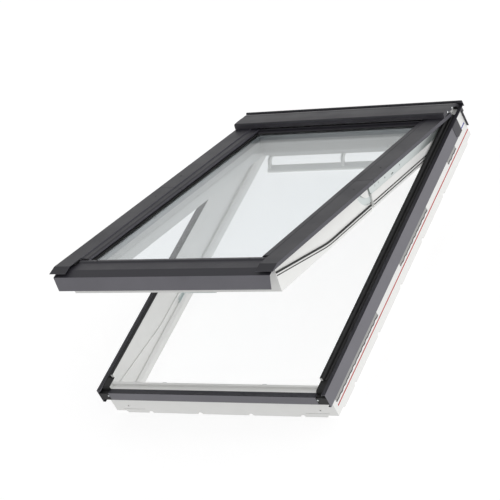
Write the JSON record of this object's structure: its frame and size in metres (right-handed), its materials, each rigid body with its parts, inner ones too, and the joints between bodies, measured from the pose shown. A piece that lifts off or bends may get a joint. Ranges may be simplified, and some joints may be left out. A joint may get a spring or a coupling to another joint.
{
  "type": "roof window",
  "caption": "Top-hung centre-pivot roof window: white frame and glazed sash with dark metal covers, lift arms, vent flap and handle; frame lies flat, sash drawn open.",
  "frame": {"origin": "middle of the frame's footprint, on the plane of the frame's underside", "axes": "+X across the window to the right as seen from its bottom edge outside, +Y up the slope towards the hinged top edge, +Z out of the roof towards the weather; the frame lies flat"},
  "size_m": [0.8004, 1.218, 0.5356],
  "materials": {
    "white_coated_frame": "smooth white coating, satin",
    "white_coated_sash": "smooth white coating, satin",
    "grey_cover_sheet": "dark grey baked paint on thin sheet, satin",
    "dark_cover_sheet": "dark grey baked paint on thin sheet, satin",
    "black_rubber": "moulded, matt",
    "zinc_steel": "zinc plated, satin",
    "dark_plastic": "moulded, matt",
    "white_plastic": "moulded, smooth",
    "white_metal": "white coated tube",
    "clear_glass": "clear float glass",
    "spacer_aluminium": "mill finish, satin"
  },
  "bodies": {
    "frame": {"frame_left_jamb": "white_coated_frame", "frame_right_jamb": "white_coated_frame", "frame_bottom_rail": "white_coated_frame", "frame_top_rail": "white_coated_frame", "left_side_cover": "grey_cover_sheet", "right_side_cover": "grey_cover_sheet", "frame_bottom_cover": "grey_cover_sheet", "frame_top_cover": "dark_cover_sheet", "left_corner_plate": "dark_cover_sheet", "right_corner_plate": "dark_cover_sheet", "left_corner_block": "black_rubber", "right_corner_block": "black_rubber", "left_frame_gasket": "black_rubber", "right_frame_gasket": "black_rubber", "top_weather_seal": "black_rubber", "left_hinge_bracket": "zinc_steel", "right_hinge_bracket": "zinc_steel", "lock_strikers": "zinc_steel", "left_jamb_guide": "zinc_steel", "right_jamb_guide": "zinc_steel", "bottom_bush": "dark_plastic", "corner_screws": "zinc_steel"},
    "lift_arms": {"left_hinge_arm": "zinc_steel", "right_hinge_arm": "zinc_steel", "left_pivot_claw": "zinc_steel", "right_pivot_claw": "zinc_steel", "left_arm_batten": "white_coated_sash", "right_arm_batten": "white_coated_sash", "left_upper_cover": "dark_cover_sheet", "right_upper_cover": "dark_cover_sheet", "top_casing": "dark_cover_sheet", "left_casing_end": "dark_cover_sheet", "right_casing_end": "dark_cover_sheet", "casing_clips": "dark_plastic", "upper_cover_screws": "dark_plastic", "claw_rivets": "zinc_steel"},
    "sash": {"sash_left_stile": "white_coated_sash", "sash_right_stile": "white_coated_sash", "sash_top_rail": "white_coated_sash", "sash_bottom_rail": "white_coated_sash", "outer_pane": "clear_glass", "inner_pane": "clear_glass", "pane_spacer": "spacer_aluminium", "glazing_gasket": "black_rubber", "top_glazing_profile": "dark_cover_sheet", "left_lower_cover": "dark_cover_sheet", "right_lower_cover": "dark_cover_sheet", "apron": "grey_cover_sheet", "cover_clips": "dark_plastic", "apron_clips": "dark_plastic", "sash_seals": "black_rubber", "lower_cover_screws": "dark_plastic", "handle_base": "white_plastic", "vent_hangers": "dark_plastic"},
    "vent_flap": {"vent_flap": "white_plastic", "control_bar": "white_metal", "bar_brackets": "white_plastic"},
    "handle": {"handle_lever": "zinc_steel"},
    "lock_bar": {"lock_bar": "zinc_steel"}
  },
  "joints": [
    {"name": "top_hinge", "type": "hinge", "parent": "frame", "child": "lift_arms", "pos_m": [0, 0.558, 0.1025], "axis": [-1, 0, 0], "range_deg": [-20.8, 24.2]},
    {"name": "centre_pivot", "type": "hinge", "parent": "lift_arms", "child": "sash", "pos_m": [0, 0.04889, 0.32798], "axis": [-1, 0, 0], "range_deg": [0, 160]},
    {"name": "vent_hinge", "type": "hinge", "parent": "sash", "child": "vent_flap", "pos_m": [0, 0.51497, 0.0399], "axis": [1, 0, 0], "range_deg": [0, 40]},
    {"name": "handle_turn", "type": "hinge", "parent": "sash", "child": "handle", "pos_m": [0, -0.46532, 0.39923], "axis": [0, 0.3551, 0.9348], "range_deg": [0, 90]},
    {"name": "lock_slide", "type": "slide", "parent": "sash", "child": "lock_bar", "axis": [1, 0, 0], "range_m": [0, 0.016]}
  ],
  "couplings": [
    {"joint": "lock_slide", "follows": "handle_turn", "m_per_rad": 0.010185}
  ]
}
